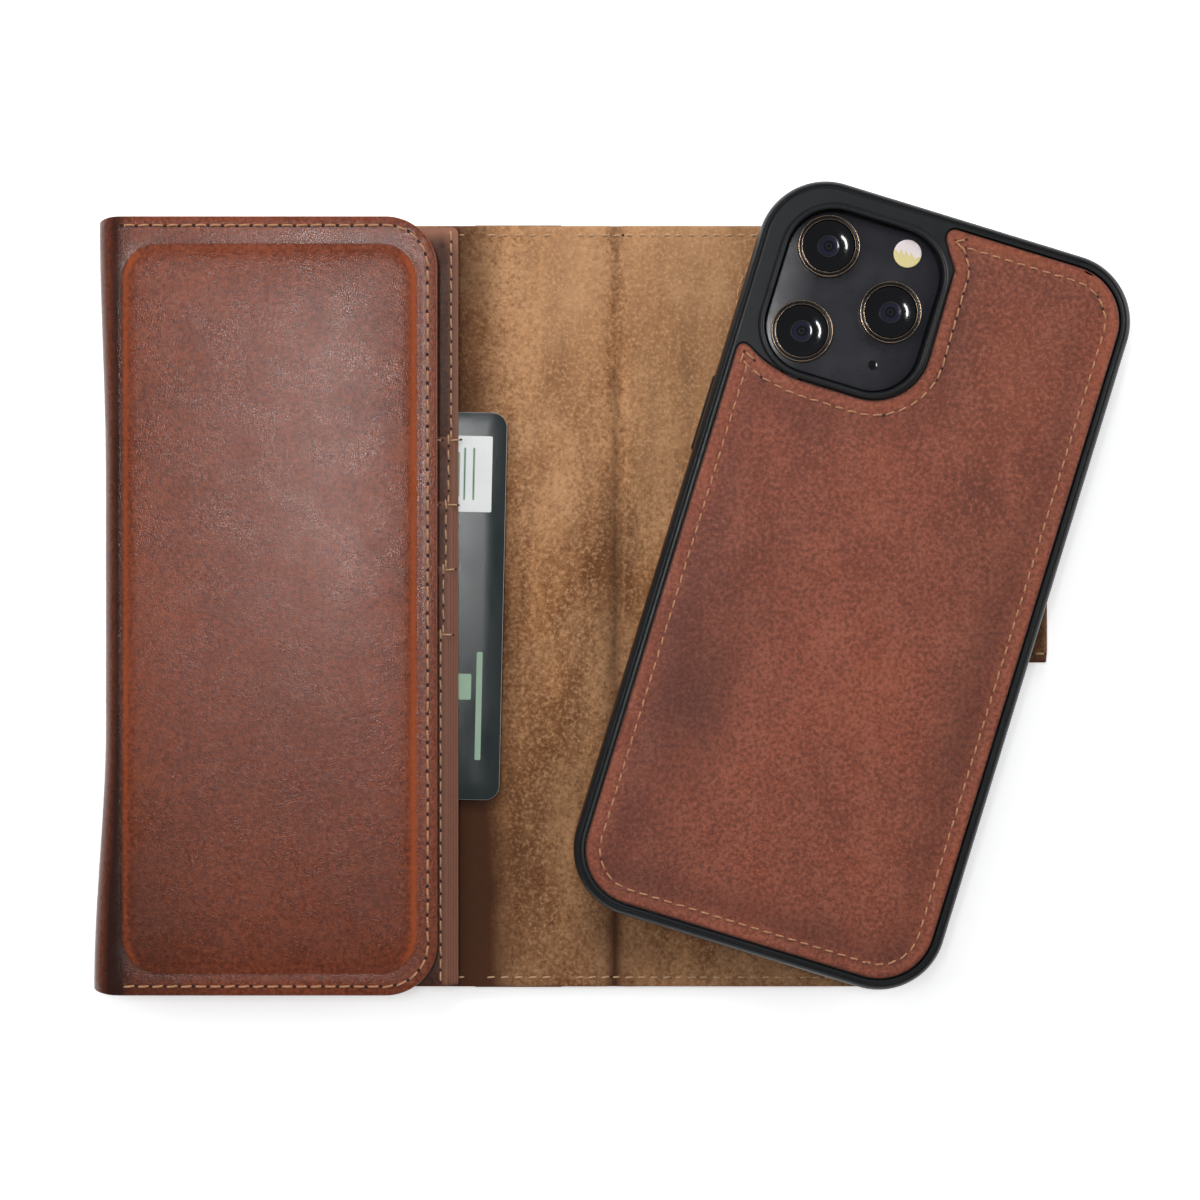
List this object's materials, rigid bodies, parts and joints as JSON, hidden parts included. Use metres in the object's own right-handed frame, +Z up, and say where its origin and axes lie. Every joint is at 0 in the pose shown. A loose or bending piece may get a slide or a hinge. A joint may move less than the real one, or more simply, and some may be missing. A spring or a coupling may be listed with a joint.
{
  "type": "phone wallet case",
  "caption": "Tri-fold leather phone wallet with card pockets, a fold-over flap, a closing strap and a detachable magnetic snap case.",
  "frame": {"origin": "bottom centre of the box round the whole object, on the face that it lies on", "axes": "+X across the open wallet from the flap to the snap case, +Y along the fold lines towards the phone's camera end, +Z up off the table"},
  "size_m": [0.2256, 0.1778, 0.0151],
  "materials": {
    "cover_leather": "burnished reddish-brown full grain",
    "suede": "napped tan suede",
    "pocket_leather": "satin brown grain",
    "board": "dull pressed fibre board",
    "steel": "plain rolled sheet",
    "magnet": "bright plated",
    "foam": "soft open foam",
    "card": "satin slate laminate",
    "shell": "satin black flexible plastic",
    "microfibre": "short napped microfibre",
    "case_leather": "waxed chestnut pull-up leather",
    "phone_metal": "fine blasted graphite",
    "screen_glass": "polished black front glass",
    "camera_plate": "matt dark glass",
    "lens_ring": "thin pale gold rim",
    "lens_glass": "polished black lens cover",
    "flash_lens": "frosted pale yellow diffuser"
  },
  "bodies": {
    "back_panel": {"back_panel_leather": "cover_leather", "back_panel_board": "board", "back_panel_steel_plate": "steel", "back_panel_suede": "suede", "strap_anchor": "cover_leather"},
    "spine": {"spine_leather": "cover_leather", "spine_interlining": "board", "spine_suede": "suede"},
    "front_panel": {"front_panel_leather": "cover_leather", "front_panel_board": "board", "catch_plate": "steel", "front_panel_lining": "suede", "side_pocket_rim": "pocket_leather", "pocket_backing": "pocket_leather", "card_pocket_1": "pocket_leather", "card_pocket_2": "pocket_leather", "card_pocket_3": "pocket_leather", "card_pocket_4": "pocket_leather"},
    "card": {"bank_card": "card"},
    "edge_fold": {"edge_fold_leather": "cover_leather", "edge_fold_lining": "suede"},
    "flap": {"flap_leather": "cover_leather", "flap_padding": "foam", "flap_lining": "suede", "flap_pocket": "suede"},
    "strap_side": {"strap_side_leather": "cover_leather", "strap_side_lining": "suede"},
    "strap_tab": {"strap_tab_lining": "suede", "strap_tab_stiffener": "board", "strap_tab_magnet": "magnet", "strap_tab_leather": "cover_leather"},
    "case_pivot": {"case_magnet_4": "magnet"},
    "snap_case": {"case_shell": "shell", "case_back_leather": "case_leather", "case_inner_lining": "microfibre", "case_magnet_1": "magnet", "case_magnet_2": "magnet", "case_magnet_3": "magnet", "phone_screen": "screen_glass", "phone_body": "phone_metal", "camera_plate": "camera_plate", "lens_ring_1": "lens_ring", "lens_ring_2": "lens_ring", "lens_ring_3": "lens_ring", "lens_glass_1": "lens_glass", "lens_glass_2": "lens_glass", "lens_glass_3": "lens_glass", "flash_lens": "flash_lens", "depth_sensor": "lens_glass"},
    "volume_up": {"volume_up_pad": "shell"},
    "volume_down": {"volume_down_pad": "shell"},
    "power_key": {"power_pad": "shell"}
  },
  "joints": [
    {"name": "cover_fold", "type": "hinge", "parent": "back_panel", "child": "spine", "pos_m": [-0.01106, 0, 0.003], "axis": [0, 1, 0], "range_deg": [0, 90]},
    {"name": "cover_turn", "type": "hinge", "parent": "spine", "child": "front_panel", "pos_m": [-0.03036, 0, 0.003], "axis": [0, 1, 0], "range_deg": [0, 90]},
    {"name": "card_push", "type": "slide", "parent": "front_panel", "child": "card", "axis": [-1, 0, 0], "range_m": [0, 0.019]},
    {"name": "flap_open", "type": "hinge", "parent": "front_panel", "child": "edge_fold", "pos_m": [-0.11066, 0, 0.003], "axis": [0, 1, 0], "range_deg": [-90, 0]},
    {"name": "flap_turn", "type": "hinge", "parent": "edge_fold", "child": "flap", "pos_m": [-0.11066, 0, 0.0069], "axis": [0, 1, 0], "range_deg": [-90, 0]},
    {"name": "case_lift", "type": "slide", "parent": "back_panel", "child": "case_pivot", "axis": [0, 0, -1], "range_m": [-0.06, 0]},
    {"name": "case_swing", "type": "hinge", "parent": "case_pivot", "child": "snap_case", "pos_m": [0.05794, -0.07215, 0.012], "axis": [0, 0, 1], "range_deg": [0, 17.05]},
    {"name": "strap_wrap", "type": "hinge", "parent": "back_panel", "child": "strap_side", "pos_m": [0.07304, -0.00404, 0.003], "axis": [0, -1, 0], "range_deg": [0, 90.01], "deforming": ["strap_side_leather", "strap_side_lining"]},
    {"name": "strap_turn", "type": "hinge", "parent": "strap_side", "child": "strap_tab", "pos_m": [0.09779, -0.00404, 0.00183], "axis": [0, -1, 0], "range_deg": [0, 270.03]},
    {"name": "volume_up_press", "type": "slide", "parent": "snap_case", "child": "volume_up", "axis": [-0.956, 0.2932, 0], "range_m": [0, 0.0004], "stiffness_N_per_m": 800},
    {"name": "volume_down_press", "type": "slide", "parent": "snap_case", "child": "volume_down", "axis": [-0.956, 0.2932, 0], "range_m": [0, 0.0004], "stiffness_N_per_m": 800},
    {"name": "power_press", "type": "slide", "parent": "snap_case", "child": "power_key", "axis": [0.956, -0.2932, 0], "range_m": [0, 0.0004], "stiffness_N_per_m": 800}
  ],
  "couplings": [
    {"joint": "cover_turn", "follows": "cover_fold", "ratio": 1},
    {"joint": "card_push", "follows": "cover_fold", "m_per_rad": 0.011968},
    {"joint": "flap_turn", "follows": "flap_open", "ratio": 1},
    {"joint": "strap_wrap", "follows": "case_swing", "ratio": 5.2786},
    {"joint": "strap_turn", "follows": "case_swing", "ratio": 15.836}
  ]
}
